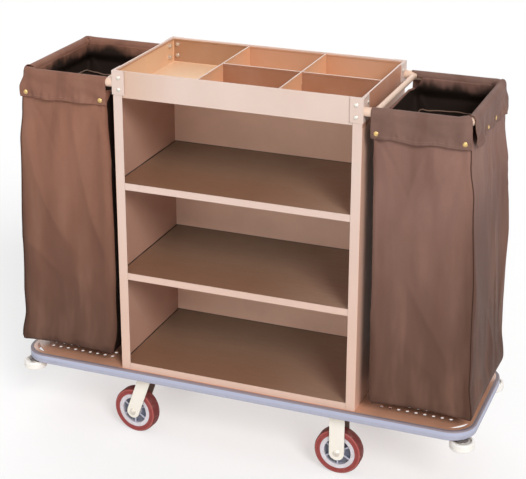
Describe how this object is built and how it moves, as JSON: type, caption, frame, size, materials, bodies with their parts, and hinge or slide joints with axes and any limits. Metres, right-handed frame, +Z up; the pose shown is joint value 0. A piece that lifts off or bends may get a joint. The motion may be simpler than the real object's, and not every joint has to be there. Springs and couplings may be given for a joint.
{
  "type": "janitor cart",
  "caption": "Long housekeeping cart with an open shelved cabinet, a divided tray on top, a cloth bag hung on a tube rail at each end, a bumpered deck, casters and corner rollers.",
  "frame": {"origin": "middle of the cart on the floor under its wheels", "axes": "+Z up, +X along the length towards the rigid casters, open shelf front facing -Y"},
  "size_m": [1.246, 0.39, 1.018],
  "materials": {
    "deck_paint": "glossy brown enamel",
    "bumper_rubber": "satin bluish grey moulded strip",
    "post_paint": "satin beige enamel",
    "panel_paint": "satin tan enamel",
    "shelf_laminate": "fine-grained dark brown laminate",
    "tray_paint": "satin light tan enamel",
    "zinc_steel": "bright zinc plate",
    "rail_paint": "glossy cream enamel",
    "bag_cloth": "brown coated woven cloth",
    "snap_brass": "polished",
    "caster_paint": "glossy cream white",
    "bearing_steel": "plain steel",
    "hub_plastic": "light grey moulding",
    "tyre_rubber": "red polyurethane tread",
    "roller_plastic": "off-white moulding"
  },
  "bodies": {
    "cart": {"deck_pan": "deck_paint", "deck_stiffeners": "deck_paint", "left_cross_member": "deck_paint", "right_cross_member": "deck_paint", "roller_brackets": "deck_paint", "bumper_strip": "bumper_rubber", "left_side_panel": "post_paint", "right_side_panel": "post_paint", "corner_brackets": "post_paint", "bottom_shelf_pan": "post_paint", "middle_shelf_pan": "post_paint", "upper_shelf_pan": "post_paint", "back_panel": "panel_paint", "bottom_shelf_board": "shelf_laminate", "middle_shelf_board": "shelf_laminate", "upper_shelf_board": "shelf_laminate", "tray_pan": "tray_paint", "tray_left_divider": "tray_paint", "tray_right_divider": "tray_paint", "tray_long_divider": "tray_paint", "tray_bolts": "zinc_steel", "tray_nuts": "zinc_steel", "caster_bolts": "zinc_steel", "caster_nuts": "zinc_steel", "roller_pins": "zinc_steel", "front_right_axle": "zinc_steel", "back_right_axle": "zinc_steel", "left_bag_rail": "rail_paint", "right_bag_rail": "rail_paint", "left_bag": "bag_cloth", "right_bag": "bag_cloth", "left_bag_snaps": "snap_brass", "right_bag_snaps": "snap_brass", "front_left_caster_plate": "caster_paint", "back_left_caster_plate": "caster_paint", "front_right_fork": "caster_paint", "back_right_fork": "caster_paint", "front_left_kingpin": "bearing_steel", "back_left_kingpin": "bearing_steel"},
    "front_left_swivel": {"front_left_fork": "caster_paint", "front_left_axle": "zinc_steel"},
    "back_left_swivel": {"back_left_fork": "caster_paint", "back_left_axle": "zinc_steel"},
    "front_left_wheel": {"front_left_wheel_hub": "hub_plastic", "front_left_wheel_bearings": "bearing_steel", "front_left_tyre": "tyre_rubber"},
    "back_left_wheel": {"back_left_wheel_hub": "hub_plastic", "back_left_wheel_bearings": "bearing_steel", "back_left_tyre": "tyre_rubber"},
    "front_right_wheel": {"front_right_wheel_hub": "hub_plastic", "front_right_wheel_bearings": "bearing_steel", "front_right_tyre": "tyre_rubber"},
    "back_right_wheel": {"back_right_wheel_hub": "hub_plastic", "back_right_wheel_bearings": "bearing_steel", "back_right_tyre": "tyre_rubber"},
    "front_left_corner_roller": {"front_left_roller": "roller_plastic"},
    "back_left_corner_roller": {"back_left_roller": "roller_plastic"},
    "front_right_corner_roller": {"front_right_roller": "roller_plastic"},
    "back_right_corner_roller": {"back_right_roller": "roller_plastic"}
  },
  "joints": [
    {"name": "front_left_swivel_turn", "type": "hinge", "parent": "cart", "child": "front_left_swivel", "pos_m": [-0.268, -0.132, 0.15], "axis": [0, 0, 1], "continuous": true},
    {"name": "back_left_swivel_turn", "type": "hinge", "parent": "cart", "child": "back_left_swivel", "pos_m": [-0.268, 0.132, 0.15], "axis": [0, 0, 1], "continuous": true},
    {"name": "front_left_wheel_spin", "type": "hinge", "parent": "front_left_swivel", "child": "front_left_wheel", "pos_m": [-0.30572, -0.12737, 0.0625], "axis": [0.1219, 0.9925, 0], "continuous": true},
    {"name": "back_left_wheel_spin", "type": "hinge", "parent": "back_left_swivel", "child": "back_left_wheel", "pos_m": [-0.30595, 0.13001, 0.0625], "axis": [-0.0523, 0.9986, 0], "continuous": true},
    {"name": "front_right_wheel_spin", "type": "hinge", "parent": "cart", "child": "front_right_wheel", "pos_m": [0.268, -0.132, 0.0625], "axis": [0, 1, 0], "continuous": true},
    {"name": "back_right_wheel_spin", "type": "hinge", "parent": "cart", "child": "back_right_wheel", "pos_m": [0.268, 0.132, 0.0625], "axis": [0, 1, 0], "continuous": true},
    {"name": "front_left_roller_spin", "type": "hinge", "parent": "cart", "child": "front_left_corner_roller", "pos_m": [-0.592, -0.164, 0.165], "axis": [0, 0, 1], "continuous": true},
    {"name": "back_left_roller_spin", "type": "hinge", "parent": "cart", "child": "back_left_corner_roller", "pos_m": [-0.592, 0.164, 0.165], "axis": [0, 0, 1], "continuous": true},
    {"name": "front_right_roller_spin", "type": "hinge", "parent": "cart", "child": "front_right_corner_roller", "pos_m": [0.592, -0.164, 0.165], "axis": [0, 0, 1], "continuous": true},
    {"name": "back_right_roller_spin", "type": "hinge", "parent": "cart", "child": "back_right_corner_roller", "pos_m": [0.592, 0.164, 0.165], "axis": [0, 0, 1], "continuous": true}
  ]
}
